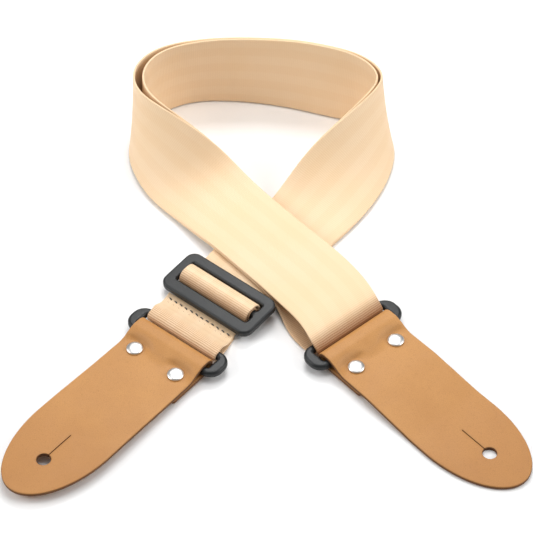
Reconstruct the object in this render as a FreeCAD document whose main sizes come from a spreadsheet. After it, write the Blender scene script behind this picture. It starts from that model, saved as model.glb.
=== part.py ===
"""Guitar strap laid out in a crossed loop: seat-belt webbing, plastic rings and slider, leather ends.

Millimetres, +Z up. The origin is on the surface the strap lies on, under the middle of the whole
strap, and the leather ends point towards -Y. Each leather end has a local frame: u runs from its
ring to its tip, v runs across it, and u = 0 is the line of the two rivets.
"""
import FreeCAD, Part
import math
import os
import Sketcher

Vector = FreeCAD.Vector
doc = FreeCAD.newDocument("guitar_strap")

# ---------------------------------------------------------------- driving dimensions

SIZES = {
    "strap_width": 50.0,          # webbing
    "strap_thick": 1.3,
    "layer_gap": 0.15,            # between two layers of webbing that lie on each other
    "floor_gap": 0.1,
    "ring_bar": 4.4,              # rings
    "ring_pitch": 13.5,           # between the axes of the two long bars
    "ring_end": 7.2,              # width of each short end
    "slot_play": 1.2,             # room at each side of the webbing in a ring or in the slider
    "ring_corner": 8.0,
    "window_corner": 1.0,
    "ring_rounding": 0.42,        # edge radius as a share of the bar
    "bar_play": 0.2,              # between a bar and what is folded round it
    "wrap_ease": 0.1,             # further room where webbing is folded round a ring's bar
    "slider_near_rim": 8.0,       # slider, widths along the strap
    "slider_far_rim": 7.0,
    "slider_thick": 4.4,
    "slider_bar": 4.4,
    "slider_slot": 5.3,
    "slider_end": 6.4,
    "slider_corner": 6.0,
    "slider_rounding": 0.3,       # edge radius as a share of the thickness
    "slider_tilt": 5.0,
    "slider_lift": 7.1,           # height of its centre bar
    "leather_thick": 2.4,         # leather ends
    "leather_length": 114.0,      # rivet line to tip
    "leather_width": 52.0,
    "fold_width": 50.6,
    "fold_reach": 20.0,           # rivet line to the outside of the fold
    "tail_reach": 14.0,
    "tip_round": 48.0,            # length of the half ellipse at the tip
    "button_hole": 7.8,           # diameter
    "button_reach": 88.7,         # rivet line to the button hole
    "slit_length": 21.0,
    "slit_width": 0.8,
    "bar_reach": 12.0,            # rivet line to the ring's leather-side bar
    "left_tip_lift": 4.2,
    "rivet_pitch": 30.0,          # rivets
    "rivet_head": 9.4,
    "rivet_dome": 2.0,
    "rivet_rim": 0.8,             # upright rim below the dome
    "rivet_base": 0.8,
    "rivet_post": 3.2,
    "rivet_play": 0.05,
    "thread": 0.5,                # stitching
    "stitch_length": 2.0,
    "stitch_pitch": 3.9,
    "tab_length": 19.0,           # sewn end, ring bar to cut edge
    "stitch_reach": 17.4,
}

sheet = doc.addObject("Spreadsheet::Sheet", "Sizes")
for row, (alias, amount) in enumerate(SIZES.items(), start=1):
    sheet.set(f"A{row}", alias)
    sheet.set(f"B{row}", str(amount))
    sheet.setAlias(f"B{row}", alias)
doc.recompute()


def size(alias):
    return float(getattr(sheet, alias))


width = size("strap_width")
thick = size("strap_thick")
leather = size("leather_thick")
bar_radius = size("ring_bar") / 2
layer_step = thick + size("layer_gap")
floor_mid = size("floor_gap") + thick / 2

# Heights in a leather end: tail on the rivet bases, ring bar in the middle of the fold.
tail_mid = size("floor_gap") + size("rivet_base") + leather / 2
fold_radius = bar_radius + size("bar_play") + leather / 2
bar_height = tail_mid + fold_radius
flap_mid = tail_mid + leather + size("rivet_play")
bar_wrap = bar_radius + size("bar_play") + size("wrap_ease") + thick / 2

# Where the two leather ends lie: the rivet line's middle, and the direction from ring to tip.
# The whole layout spreads from the origin as the strap gets wider than the 50 mm it is drawn for.
SPREAD = width / 50.0
SLIDER_HEADING = 50.0
SLIDER_MIDDLE = Vector(-27.4, -16.6, 0) * SPREAD
ENDS = {
    "left": {"rivets": SLIDER_MIDDLE - Vector(34.8, 49.9, 0), "heading": 230.7, "strap_shift": 0.4},
    "right": {"rivets": Vector(60.2, -60.7, 0) * SPREAD, "heading": -49.1, "strap_shift": 0.4},
}
STRAP_IN_SLIDER = -0.4            # the webbing lies this far to the left of the slider's middle
JOIN_GAP = 0.3                    # between the webbing that travels with the slider and the rest

SAMPLES = 5                       # cross-sections to each span between two stations
written = []


# ---------------------------------------------------------------- helpers

def direction(degrees):
    return Vector(math.cos(math.radians(degrees)), math.sin(math.radians(degrees)), 0)


def add_shape(label, shape, placement=None):
    """A piece whose shape comes from Part's own functions, as one named object."""
    piece = doc.addObject("Part::Feature", label)
    piece.Label = label
    piece.Shape = shape
    piece.Placement = placement or FreeCAD.Placement()
    written.append(piece)
    return piece


def spline(points, parameters):
    curve = Part.BSplineCurve()
    curve.interpolate(Points=points, Parameters=parameters)
    return curve


def edge_curves(stations):
    """Smooth outer and inner edges through stations, and the parameter of each station.

    stations: (outer edge point, inner edge point) pairs. Each pair is brought to the strap's width
    about its middle, and the outer edge keeps its height.
    """
    outer, inner, knots = [], [], [0.0]
    for low, high in stations:
        across = (high - low).normalize()
        middle = (high + low) * 0.5
        middle.z = low.z + across.z * width / 2
        outer.append(middle - across * (width / 2))
        inner.append(middle + across * (width / 2))
    for index in range(1, len(outer)):
        step = (outer[index] + inner[index] - outer[index - 1] - inner[index - 1]).Length / 2
        knots.append(knots[-1] + step)
    return spline(outer, knots), spline(inner, knots), knots


def cross_sections(stations):
    """Cross-sections of flat webbing along smooth edges, SAMPLES to each span of stations."""
    outer_curve, inner_curve, knots = edge_curves(stations)
    sections = []
    for start, end in zip(knots, knots[1:]):
        sections += [start + (end - start) * part / SAMPLES for part in range(SAMPLES)]
    sections.append(knots[-1])
    corners = []
    for knot in sections:
        low, high = outer_curve.value(knot), inner_curve.value(knot)
        along = outer_curve.tangent(knot)[0] + inner_curve.tangent(knot)[0]
        normal = along.cross(high - low).normalize() * (thick / 2)
        corners.append((knot, (low + normal, high + normal, high - normal, low - normal)))
    return corners


def solid_through(sections):
    """Closed solid through four-cornered cross-sections."""
    parameters = [knot for knot, corners in sections]
    rails = [[corners[side] for knot, corners in sections] for side in range(4)]
    curves = [spline(rail, parameters).toShape() for rail in rails]
    forward = 1
    faces = [Part.makeRuledSurface(curves[side], curves[(side + 1) % 4], forward) for side in range(4)]
    for end in (0, -1):
        corners = list(sections[end][1])
        faces.append(Part.Face(Part.makePolygon(corners + corners[:1])))
    solid = Part.Solid(Part.Shell(faces))
    if solid.Volume < 0:
        solid.reverse()
    return solid


def strip(stations):
    return solid_through(cross_sections(stations))


def cut_strip(stations, label, names, counts):
    """One run of webbing as neighbouring pieces that share their end sections."""
    sections = cross_sections(stations)
    start = 0
    for name, count in zip(names, counts):
        end = start + count * SAMPLES
        add_shape(f"{label}_{name}", solid_through(sections[start:end + 1]))
        start = end


def rounded_side(points, radii, offset):
    """Edges of a polyline with round corners, moved sideways by offset (positive to the left)."""
    moved = []
    turns = []
    for index, point in enumerate(points):
        before = (point - points[index - 1]).normalize() if index else None
        after = (points[index + 1] - point).normalize() if index < len(points) - 1 else before
        before = before or after
        left_before = Vector(-before.y, before.x, 0)
        left_after = Vector(-after.y, after.x, 0)
        moved.append(point + (left_before + left_after) * (offset / (1 + left_before.dot(left_after))))
        turns.append(math.atan2(before.cross(after).z, before.dot(after)))
    edges = []
    last = moved[0]
    for index in range(1, len(moved) - 1):
        corner, turn = moved[index], turns[index]
        radius = radii[index - 1] - offset * math.copysign(1, turn)
        before = (corner - moved[index - 1]).normalize()
        after = (moved[index + 1] - corner).normalize()
        reach = radius * math.tan(abs(turn) / 2)
        start, end = corner - before * reach, corner + after * reach
        bisector = (after - before).normalize()
        centre = corner + bisector * (radius / math.cos(turn / 2))
        middle = centre - bisector * radius
        if (start - last).Length > 1e-6:
            edges.append(Part.LineSegment(last, start).toShape())
        edges.append(Part.Arc(start, middle, end).toShape())
        last = end
    edges.append(Part.LineSegment(last, moved[-1]).toShape())
    return edges, moved[0], moved[-1]


def bent_face(points, radii, thickness):
    """Side view of a bent sheet: a band of constant thickness about a rounded centreline."""
    left, left_start, left_end = rounded_side(points, radii, thickness / 2)
    right, right_start, right_end = rounded_side(points, radii, -thickness / 2)
    ends = ((left_start, right_start), (left_end, right_end))
    caps = [Part.LineSegment(start, end).toShape() for start, end in ends]
    return Part.Face(Part.Wire(Part.__sortEdges__(left + right + caps)))


def rounded_rectangle(sketch, across, along, radius, middle=0.0, name="outer"):
    """Rounded rectangle in a sketch, centred on x = 0 and y = middle, bound to sheet formulas.

    across, along and radius are (number, formula) pairs, and middle is a pair or 0.
    """
    shift, shift_formula = middle if middle else (0.0, "0")
    half_x, half_y, round_ = across[0] / 2, along[0] / 2, radius[0]
    first = len(sketch.Geometry)
    corners = ((1, -1, 270), (1, 1, 0), (-1, 1, 90), (-1, -1, 180))
    for sign_x, sign_y, start in corners:
        centre = Vector(sign_x * (half_x - round_), shift + sign_y * (half_y - round_), 0)
        circle = Part.Circle(centre, Vector(0, 0, 1), round_)
        arc = Part.ArcOfCircle(circle, math.radians(start), math.radians(start + 90))
        sketch.addGeometry(arc, False)
    for index in range(4):
        end = sketch.Geometry[first + index].EndPoint
        start = sketch.Geometry[first + (index + 1) % 4].StartPoint
        sketch.addGeometry(Part.LineSegment(end, start), False)
    constraints = []
    for index in range(4):
        arc, line, following = first + index, first + 4 + index, first + (index + 1) % 4
        constraints.append(Sketcher.Constraint("Tangent", arc, 2, line, 1))
        constraints.append(Sketcher.Constraint("Tangent", line, 2, following, 1))
        constraints.append(Sketcher.Constraint("Horizontal" if index % 2 else "Vertical", line))
        if index:
            constraints.append(Sketcher.Constraint("Equal", first, arc))
    sketch.addConstraint(constraints)
    right, top, left, bottom = (first + 4 + index for index in range(4))
    driven = (
        ("radius", Sketcher.Constraint("Radius", first, round_), radius[1]),
        ("right", Sketcher.Constraint("DistanceX", -1, 1, right, 1, half_x), f"({across[1]}) / 2"),
        ("left", Sketcher.Constraint("DistanceX", left, 1, -1, 1, half_x), f"({across[1]}) / 2"),
        ("top", Sketcher.Constraint("DistanceY", -1, 1, top, 1, shift + half_y),
         f"({shift_formula}) + ({along[1]}) / 2"),
        ("bottom", Sketcher.Constraint("DistanceY", -1, 1, bottom, 1, shift - half_y),
         f"({shift_formula}) - ({along[1]}) / 2"),
    )
    for word, constraint, formula in driven:
        index = sketch.addConstraint(constraint)
        sketch.renameConstraint(index, f"{name}_{word}")
        sketch.setExpression(f"Constraints.{name}_{word}", formula)


def moulded_frame(label, loops, thickness, edge_radius, placement):
    """Plastic frame: one sketch of an outline and its windows, padded both ways and rounded."""
    body = doc.addObject("PartDesign::Body", label)
    body.Label = label
    plane = next(item for item in body.Origin.OriginFeatures if item.Role == "XY_Plane")
    sketch = body.newObject("Sketcher::SketchObject", f"{label}_outline")
    sketch.AttachmentSupport = [(plane, "")]
    sketch.MapMode = "FlatFace"
    for name, (across, along, radius, middle) in loops.items():
        rounded_rectangle(sketch, across, along, radius, middle, name)
    pad = body.newObject("PartDesign::Pad", f"{label}_pad")
    pad.Profile = sketch
    pad.SideType = "Symmetric"
    pad.setExpression("Length", f"Sizes.{thickness}")
    doc.recompute()
    flat_edges = []
    for index, edge in enumerate(pad.Shape.Edges, start=1):
        if edge.BoundBox.ZLength < 1e-6:
            flat_edges.append(f"Edge{index}")
    rounding = body.newObject("PartDesign::Fillet", f"{label}_rounding")
    rounding.Base = (pad, flat_edges)
    rounding.setExpression("Radius", edge_radius)
    body.Tip = rounding
    body.Placement = placement
    written.append(body)
    return body


def end_placement(side, u=0.0, v=0.0, z=0.0):
    """Placement of a leather end's local frame, moved by u, v and z within it."""
    end = ENDS[side]
    along, across = direction(end["heading"]), direction(end["heading"] + 90)
    base = end["rivets"] + along * u + across * v + Vector(0, 0, z)
    return FreeCAD.Placement(base, FreeCAD.Rotation(Vector(0, 0, 1), end["heading"]))


def bar_station(side, back, height, shift):
    """Station across the strap at a leather end: back is the distance from the ring's strap-side
    bar towards the strap, and shift moves the strap sideways to its inner edge's side."""
    end = ENDS[side]
    along = direction(end["heading"])
    inner_side = direction(end["heading"] + 90)
    if side == "left":
        inner_side = direction(end["heading"] - 90)
    bar = end["rivets"] - along * (size("bar_reach") + size("ring_pitch"))
    middle = bar - along * back + inner_side * shift + Vector(0, 0, height)
    return middle - inner_side * (width / 2), middle + inner_side * (width / 2)


def slider_point(along, across, height=0.0):
    """World place of a point given along the strap and across it, from the slider's middle."""
    base = SLIDER_MIDDLE + direction(SLIDER_HEADING) * along
    return base + direction(SLIDER_HEADING - 90) * across + Vector(0, 0, height)


def slider_station(along, height, extra=0.0):
    shift = STRAP_IN_SLIDER + extra
    outer = slider_point(along, shift + width / 2, height)
    return outer, slider_point(along, shift - width / 2, height)


# ---------------------------------------------------------------- leather ends and rivets

SHOULDER = -10.4                  # along u: where the top of the fold starts to come down
FLAP_START = -5.6                 # where it meets the flap
SHOULDER_BEND = 2.2
FLAP_FLAT = 6.0                   # the flap stays level this far past the tail's cut edge
TIP_LEVEL = 54.0                  # along u: from here on the tongue lies at its tip's height
FLAP_BEND = 40.0
TIP_BEND = 60.0
MARGIN = 1.0                      # a cutting shape reaches this far past what it cuts
BELOW = Vector(0, 0, -5)          # cutting shapes start here and are CUT_HEIGHT tall
CUT_HEIGHT = 30.0


def leather_end(side, tip_mid):
    """One piece of leather: tail under the rivets, fold round the ring bar, tongue to the tip."""
    fold_mid = -(size("fold_reach") - leather / 2)
    top = bar_height + fold_radius
    length, half = size("leather_length"), size("leather_width") / 2
    points = [
        Vector(size("tail_reach"), tail_mid, 0), Vector(fold_mid, tail_mid, 0), Vector(fold_mid, top, 0),
        Vector(SHOULDER, top, 0), Vector(FLAP_START, flap_mid, 0),
        Vector(size("tail_reach") + FLAP_FLAT, flap_mid, 0), Vector(TIP_LEVEL, tip_mid, 0),
        Vector(length + MARGIN, tip_mid, 0),
    ]
    bends = [fold_radius, fold_radius, SHOULDER_BEND, SHOULDER_BEND, FLAP_BEND, TIP_BEND]
    face = bent_face(points, bends, leather)
    face.rotate(Vector(0, 0, 0), Vector(1, 0, 0), 90)
    face.translate(Vector(0, half + MARGIN, 0))
    sheet_solid = face.extrude(Vector(0, -2 * (half + MARGIN), 0))

    round_start = length - size("tip_round")
    ellipse = Part.Ellipse(Vector(round_start, 0, 0), size("tip_round"), half)
    tip = Part.ArcOfEllipse(ellipse, -math.pi / 2, math.pi / 2).toShape()
    fold_half = size("fold_width") / 2
    near = -size("fold_reach") - MARGIN
    corners = [Vector(round_start, half, 0), Vector(near, fold_half, 0), Vector(near, -fold_half, 0),
               Vector(round_start, -half, 0)]
    outline = Part.Face(Part.Wire([tip] + Part.makePolygon(corners).Edges))
    outline.translate(BELOW)
    shape = sheet_solid.common(outline.extrude(Vector(0, 0, CUT_HEIGHT)))

    reach = size("button_reach")
    cuts = [Part.makeCylinder(size("button_hole") / 2, CUT_HEIGHT, Vector(reach, 0, 0) + BELOW)]
    slit = Vector(reach - size("slit_length"), -size("slit_width") / 2, 0) + BELOW
    cuts.append(Part.makeBox(size("slit_length"), size("slit_width"), CUT_HEIGHT, slit))
    for sign in (-1, 1):
        place = Vector(0, sign * size("rivet_pitch") / 2, 0) + BELOW
        cuts.append(Part.makeCylinder(size("rivet_post") / 2 + size("rivet_play"), CUT_HEIGHT, place))
    shape = shape.cut(cuts)
    add_shape(f"{side}_leather_end", shape.Solids[0], end_placement(side))


BASE_ROUNDING = 0.6               # lower edge radius of a base cap, as a share of its height


def rivets(side):
    """Two double-cap rivets: a domed cap with its post, and a flat base cap under the tail."""
    head, dome, base_height = size("rivet_head") / 2, size("rivet_dome"), size("rivet_base")
    rise = dome - size("rivet_rim")
    sphere_radius = (head ** 2 + rise ** 2) / (2 * rise)
    seat = flap_mid + leather / 2
    foot = tail_mid - leather / 2
    caps, bases = [], []
    for sign in (-1, 1):
        place = Vector(0, sign * size("rivet_pitch") / 2, 0)
        disc = Part.makeCylinder(head, dome, place + Vector(0, 0, seat))
        ball = Part.makeSphere(sphere_radius, place + Vector(0, 0, seat + dome - sphere_radius))
        post = Part.makeCylinder(size("rivet_post") / 2, seat - foot, place + Vector(0, 0, foot))
        caps.append(disc.common(ball).fuse(post).removeSplitter().Solids[0])
        base = Part.makeCylinder(head, base_height, place + Vector(0, 0, foot - base_height))
        rims = [edge for edge in base.Edges if abs(edge.BoundBox.ZMax - base.BoundBox.ZMin) < 0.01]
        bases.append(base.makeFillet(base_height * BASE_ROUNDING, rims))
    add_shape(f"{side}_rivet_caps", Part.makeCompound(caps), end_placement(side))
    add_shape(f"{side}_rivet_bases", Part.makeCompound(bases), end_placement(side))


leather_end("left", size("left_tip_lift") + leather / 2)
leather_end("right", size("floor_gap") + leather / 2)
for side_name in ENDS:
    rivets(side_name)

# ---------------------------------------------------------------- rings and slider

window = "Sizes.strap_width + 2 * Sizes.slot_play"
window_size = width + 2 * size("slot_play")
window_corner = (size("window_corner"), "Sizes.window_corner")
RING_LOOPS = {
    "outer": ((size("ring_pitch") + size("ring_bar"), "Sizes.ring_pitch + Sizes.ring_bar"),
              (window_size + 2 * size("ring_end"), f"{window} + 2 * Sizes.ring_end"),
              (size("ring_corner"), "Sizes.ring_corner"), 0),
    "window": ((size("ring_pitch") - size("ring_bar"), "Sizes.ring_pitch - Sizes.ring_bar"),
               (window_size, window), window_corner, 0),
}
for side_name in ENDS:
    ring_middle = -size("bar_reach") - size("ring_pitch") / 2
    moulded_frame(f"{side_name}_ring", RING_LOOPS, "ring_bar", "Sizes.ring_bar * Sizes.ring_rounding",
                  end_placement(side_name, ring_middle, 0, bar_height))

slot_offset = (size("slider_bar") + size("slider_slot")) / 2
near_rim, far_rim = size("slider_near_rim"), size("slider_far_rim")
SLIDER_LOOPS = {
    "outer": ((window_size + 2 * size("slider_end"), f"{window} + 2 * Sizes.slider_end"),
              (size("slider_bar") + 2 * size("slider_slot") + near_rim + far_rim,
               "Sizes.slider_bar + 2 * Sizes.slider_slot + Sizes.slider_near_rim + Sizes.slider_far_rim"),
              (size("slider_corner"), "Sizes.slider_corner"),
              ((far_rim - near_rim) / 2, "(Sizes.slider_far_rim - Sizes.slider_near_rim) / 2")),
    "near_slot": ((window_size, window), (size("slider_slot"), "Sizes.slider_slot"), window_corner,
                  (-slot_offset, "-(Sizes.slider_bar + Sizes.slider_slot) / 2")),
    "far_slot": ((window_size, window), (size("slider_slot"), "Sizes.slider_slot"), window_corner,
                 (slot_offset, "(Sizes.slider_bar + Sizes.slider_slot) / 2")),
}
yaw = FreeCAD.Rotation(Vector(0, 0, 1), SLIDER_HEADING - 90)
tilt = FreeCAD.Rotation(Vector(1, 0, 0), size("slider_tilt"))
slider_place = FreeCAD.Placement(slider_point(0, 0, size("slider_lift")), yaw.multiply(tilt))
moulded_frame("slider_frame", SLIDER_LOOPS, "slider_thick", "Sizes.slider_thick * Sizes.slider_rounding",
              slider_place)

# ---------------------------------------------------------------- webbing at the slider

# Along the strap, from the slider's middle
ROLL_END = 11.0                   # far end of the webbing that travels with the slider
ROLL_NEAR = 10.4                  # its near end
ROLL_SIDE = 5.3                   # half the length of the roll's flat crown
ROLL_FOOT = 6.6                   # where the roll's sides reach the layers below
LOOP_DIP = 2.6                    # the loop starts to rise this far below the centre bar
TAIL_MIDDLE = 17.0
TAIL_STITCHES = 20.0
TAIL_END = 23.0                   # cut end of the return layer, under the main layer
THREAD_PLAY = 0.1
LOOP_SHARE = 0.6                  # the loop's inner radius as a share of the centre bar
main_low = floor_mid + 2 * layer_step + size("thread") + THREAD_PLAY
loop_radius = size("slider_bar") * LOOP_SHARE + size("bar_play") + thick / 2
roll_radius = loop_radius + layer_step
lift = size("slider_lift")


def slider_band(label, points, radii):
    """Webbing bent in the slider's side view: points are (along the strap, height) pairs."""
    profile = bent_face([Vector(along, height, 0) for along, height in points], radii, thick)
    profile.rotate(Vector(0, 0, 0), Vector(1, 0, 0), 90)
    profile.translate(Vector(0, width / 2 - STRAP_IN_SLIDER, 0))
    solid = profile.extrude(Vector(0, -width, 0))
    turn = FreeCAD.Rotation(Vector(0, 0, 1), SLIDER_HEADING)
    add_shape(label, solid, FreeCAD.Placement(SLIDER_MIDDLE, turn))


def slider_webbing():
    """Main layer over the centre bar, and the return layer's sewn end looped round the bar."""
    near_low = floor_mid + layer_step
    crown = lift + roll_radius
    foot_bend, crown_bend, main_bend = 1.5, 4.8, 1.2
    roll = [(-ROLL_NEAR, near_low), (-ROLL_FOOT, near_low), (-ROLL_SIDE, crown), (ROLL_SIDE, crown),
            (ROLL_FOOT, main_low), (ROLL_END, main_low)]
    slider_band("slider_roll_webbing", roll, [foot_bend, crown_bend, crown_bend, main_bend])
    crest = lift + loop_radius
    side = loop_radius
    rise_start, rise_bend, side_bend, tail_bend = 1.5, 2.0, 1.2, 1.0
    loop = [(ROLL_END, floor_mid), (rise_start, floor_mid), (-side, lift - LOOP_DIP), (-side, crest),
            (side, crest), (side, near_low), (ROLL_END, near_low)]
    slider_band("slider_loop_webbing", loop, [rise_bend, side_bend, loop_radius, loop_radius, tail_bend])


slider_webbing()

tail_places = (ROLL_END + JOIN_GAP, TAIL_MIDDLE, TAIL_END)
add_shape("slider_loop_tail", strip([slider_station(along, floor_mid + layer_step) for along in tail_places]))

# ---------------------------------------------------------------- webbing at the left ring

TAB_SKEW = 0.25                   # the sewn end drifts sideways by this share of its distance


def tab_stations():
    """Sewn end round the left ring: top layer from the slider, round the bar, and back below."""
    shift = ENDS["left"]["strap_shift"]
    resting = floor_mid + layer_step
    top = [(21.0, resting), (17.8, resting + 0.04), (14.4, resting + 0.55), (10.6, bar_height - 1.5),
           (6.8, bar_height + bar_wrap * 0.36), (3.5, bar_height + bar_wrap * 0.9)]
    low = [(3.2, bar_height - bar_wrap - 0.2), (6.4, floor_mid + 0.9), (10.0, floor_mid + 0.3),
           (14.0, floor_mid), (size("tab_length"), floor_mid)]
    stations = [bar_station("left", back, height, shift + TAB_SKEW * back) for back, height in top]
    for angle in (90, 118, 146, 180, 214, 242, 270):
        place = math.radians(angle)
        back, height = bar_wrap * math.cos(place), bar_height + bar_wrap * math.sin(place)
        stations.append(bar_station("left", back, height, shift))
    stations += [bar_station("left", back, height, shift + TAB_SKEW * back) for back, height in low]
    return stations


add_shape("sewn_end_webbing", strip(tab_stations()))


STITCH_MARGIN = 2.5               # from the end stitches to the webbing's edges
STITCH_PLAY = 0.03                # between the thread and the webbing
TAB_RISE = 0.1                    # the sewn end's top layer rises this much by its stitches


def stitch_row(label, place, across, lift_to):
    """A row of thread stitches lying on the webbing, across it."""
    count = int((width - 2 * STITCH_MARGIN) / size("stitch_pitch")) + 1
    threads = []
    for index in range(count):
        middle = place((index - (count - 1) / 2) * size("stitch_pitch")) + Vector(0, 0, lift_to)
        start = middle - across * (size("stitch_length") / 2)
        threads.append(Part.makeCylinder(size("thread") / 2, size("stitch_length"), start, across))
    add_shape(label, Part.makeCompound(threads))


def tab_stitch_place(offset):
    shift = ENDS["left"]["strap_shift"] + TAB_SKEW * size("stitch_reach") - offset
    low, high = bar_station("left", size("stitch_reach"), 0, shift)
    return (low + high) * 0.5


def tail_stitch_place(offset):
    return slider_point(TAIL_STITCHES, STRAP_IN_SLIDER + offset)


stitch_lift = floor_mid + layer_step + thick / 2 + size("thread") / 2 + STITCH_PLAY
tab_across = direction(ENDS["left"]["heading"] + 90)
stitch_row("sewn_end_stitching", tab_stitch_place, tab_across, stitch_lift + TAB_RISE)
stitch_row("slider_loop_stitching", tail_stitch_place, direction(SLIDER_HEADING - 90), stitch_lift)

# ---------------------------------------------------------------- long webbing

# Edges of the main layer from the slider round the loop to the right ring: outer edge, inner edge,
# and the room between this layer and the return layer inside it. They are drawn for webbing 50 mm
# wide that lies with its middle layer TABLE_FLOOR above the floor.
TABLE_FLOOR = 0.75
LEG_RISE = 0.05                   # the first station lies this far above the webbing at the slider
leg_start = TABLE_FLOOR + (main_low + LEG_RISE - floor_mid) / SPREAD
leg_start_gap = main_low - floor_mid - thick
LEG_ONE = [
    ((8.5, -9, leg_start), (-29.5, 24, leg_start), leg_start_gap),
    ((22.5, 8, 2.9), (-15.5, 41, 2.9), 0.7),
    ((36.5, 25.5, 2.6), (-2, 57, 3.2), 0.3),
    ((50, 42, 2.5), (11, 71.5, 11.5), 0.2),
]
RIGHT_TURN = [
    ((62, 60, 2.1), (24.5, 81.5, 26), 0.2),
    ((71.5, 80, 1.7), (40.5, 90.5, 38.5), 0.3),
    ((77, 101, 1.3), (56.5, 103, 46.5), 0.8),
    ((74.5, 122, 1.0), (68.5, 120.5, 51), 1.6),
    ((58.5, 135.5, 0.9), (59.5, 138.5, 51), 1.0),
]
BACK_BAND = [
    ((37.5, 142.5, 0.9), (39.5, 149.5, 50.5), 0.3),
    ((16.5, 149.5, 0.9), (18, 155, 50.5), 0.2),
    ((-4.5, 154.5, 0.9), (-4, 157, 50.5), 0.2),
    ((-26.5, 157, 0.9), (-26, 157, 50.5), 0.2),
    ((-48.5, 155.5, 0.9), (-48, 154, 50.5), 0.7),
]
LEFT_TURN = [
    ((-68, 146.5, 0.9), (-68.5, 145.5, 50.5), 2.6),
    ((-80.5, 128.5, 1.0), (-80, 127, 50.5), 4.4),
    ((-84.5, 107.5, 1.7), (-75, 106.5, 50), 3.6),
    ((-80, 87, 2.5), (-58, 93.5, 44.5), 1.6),
    ((-70.5, 68, 2.6), (-40, 86.5, 34.5), 0.5),
]
LEG_TWO = [
    ((-58, 51.5, 3.0), (-23, 82.5, 20.5), 0.3),
    ((-45, 36, 5.2), (-8, 69.5, 12.5), 0.3),
    ((-31.5, 20, 7.6), (6, 54, 10.8), 0.3),
    ((-18, 4, 7.9), (20, 38, 10.6), 0.3),
    ((-5, -11, 8.2), (33.5, 22, 11), 0.3),
    ((7, -27, 9.8), (46, 5, 12.3), 0.3),
]
# Return layer between the crossing and the right ring, where it drops to the floor.
RETURN_STRIP = [
    ((-5.5, -11.5, 6.5), (33, 22.5, 6.2)),
    ((4.8, -26, 4.8), (43.6, 7, 3.2)),
    ((10.5, -38.5, 1.7), (50, -7, 1.4)),
    ((20, -52.5, 1.1), (58.5, -21, 1.0)),
]


def laid(edge):
    """Edge point of a table, spread for the strap's width and set on its floor layer."""
    x, y, height = edge
    return Vector(x * SPREAD, y * SPREAD, floor_mid + (height - TABLE_FLOOR) * SPREAD)


WRAP_SKEW = 0.26                  # the roll drifts sideways by this share of its distance
WRAP_EASE = 0.6                   # room between the ring's bar and the roll
WRAP_TOP = 12.4                   # height of the top layer where the roll starts
WRAP_LENGTH = 15.5                # from there to the roll's nose


def ring_wrap_stations():
    """Wide roll of webbing round the right ring's bar, from the top layer down to the floor."""
    shift = ENDS["right"]["strap_shift"]
    nose = bar_wrap + WRAP_EASE
    top_rise = WRAP_TOP - bar_height
    drop = bar_height - floor_mid
    stations = []
    for angle in (90, 70, 50, 32, 15, 0):
        place = math.radians(angle)
        back = WRAP_LENGTH * (1 - math.cos(place)) - nose
        height = bar_height + top_rise * math.sin(place)
        stations.append(bar_station("right", back, height, shift + WRAP_SKEW * max(back, 0)))
    for angle in (22, 45, 67, 90):
        place = math.radians(angle)
        back = drop * (1 - math.cos(place)) - nose
        stations.append(bar_station("right", back, bar_height - drop * math.sin(place), shift))
    return stations


def inside_of(stations, gaps):
    """Stations moved to the inside of the loop by one layer and each station's gap."""
    moved = []
    middles = [(low + high) * 0.5 for low, high in stations]
    for index, (low, high) in enumerate(stations):
        before = middles[max(index - 1, 0)]
        after = middles[min(index + 1, len(middles) - 1)]
        normal = (after - before).cross(high - low).normalize()
        step = normal * -(thick + gaps[index])
        moved.append((low + step, high + step))
    return moved


LOOP = LEG_ONE + RIGHT_TURN + BACK_BAND + LEFT_TURN + LEG_TWO
loop_stations = [(laid(low), laid(high)) for low, high, gap in LOOP]
wrap = ring_wrap_stations()
main_run = [slider_station(ROLL_END + JOIN_GAP, main_low)] + loop_stations + wrap
COUNTS = [len(LEG_ONE), len(RIGHT_TURN), len(BACK_BAND), len(LEFT_TURN), len(LEG_TWO), len(wrap)]
NAMES = ["leg_one", "right_turn", "back_band", "left_turn", "leg_two", "ring_wrap"]
cut_strip(main_run, "strap", NAMES, COUNTS)

# The return layer leaves the main layer two stations before its end and drops to the ring's foot.
inner_count = len(LOOP) - 2
gaps = [gap for low, high, gap in LOOP[:inner_count]]
wrap_end = bar_height - floor_mid - bar_wrap - WRAP_EASE
inner_run = [slider_station(ROLL_END + JOIN_GAP, floor_mid)]
inner_run += inside_of(loop_stations[:inner_count], gaps)
inner_run += [(laid(low), laid(high)) for low, high in RETURN_STRIP]
inner_run.append(bar_station("right", wrap_end + JOIN_GAP, floor_mid, ENDS["right"]["strap_shift"]))
RETURN_COUNTS = COUNTS[:4] + [len(inner_run) - 1 - sum(COUNTS[:4])]
cut_strip(inner_run, "return", NAMES[:5], RETURN_COUNTS)

# ---------------------------------------------------------------- check and write

doc.recompute()
for item in doc.Objects:
    if "Invalid" in item.State or "Error" in item.State:
        raise RuntimeError(f"{item.Label} failed: {item.State}")
os.makedirs("parts", exist_ok=True)
whole = FreeCAD.BoundBox()
for piece in written:
    if piece.Shape.isNull() or not piece.Shape.isValid():
        raise RuntimeError(f"{piece.Label} has no valid shape")
    whole.add(piece.Shape.BoundBox)
    piece.Shape.exportStep(f"parts/{piece.Label}.step")
    print(f"{piece.Label}: {len(piece.Shape.Solids)} solid(s), {piece.Shape.Volume:.0f} mm3")
print("box", whole)
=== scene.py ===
"""Looks of the guitar strap: woven webbing, leather ends, rivets, moulded rings and slider."""

import math
import random

import bpy
import numpy as np
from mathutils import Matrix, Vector
from mathutils.geometry import delaunay_2d_cdt

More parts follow.
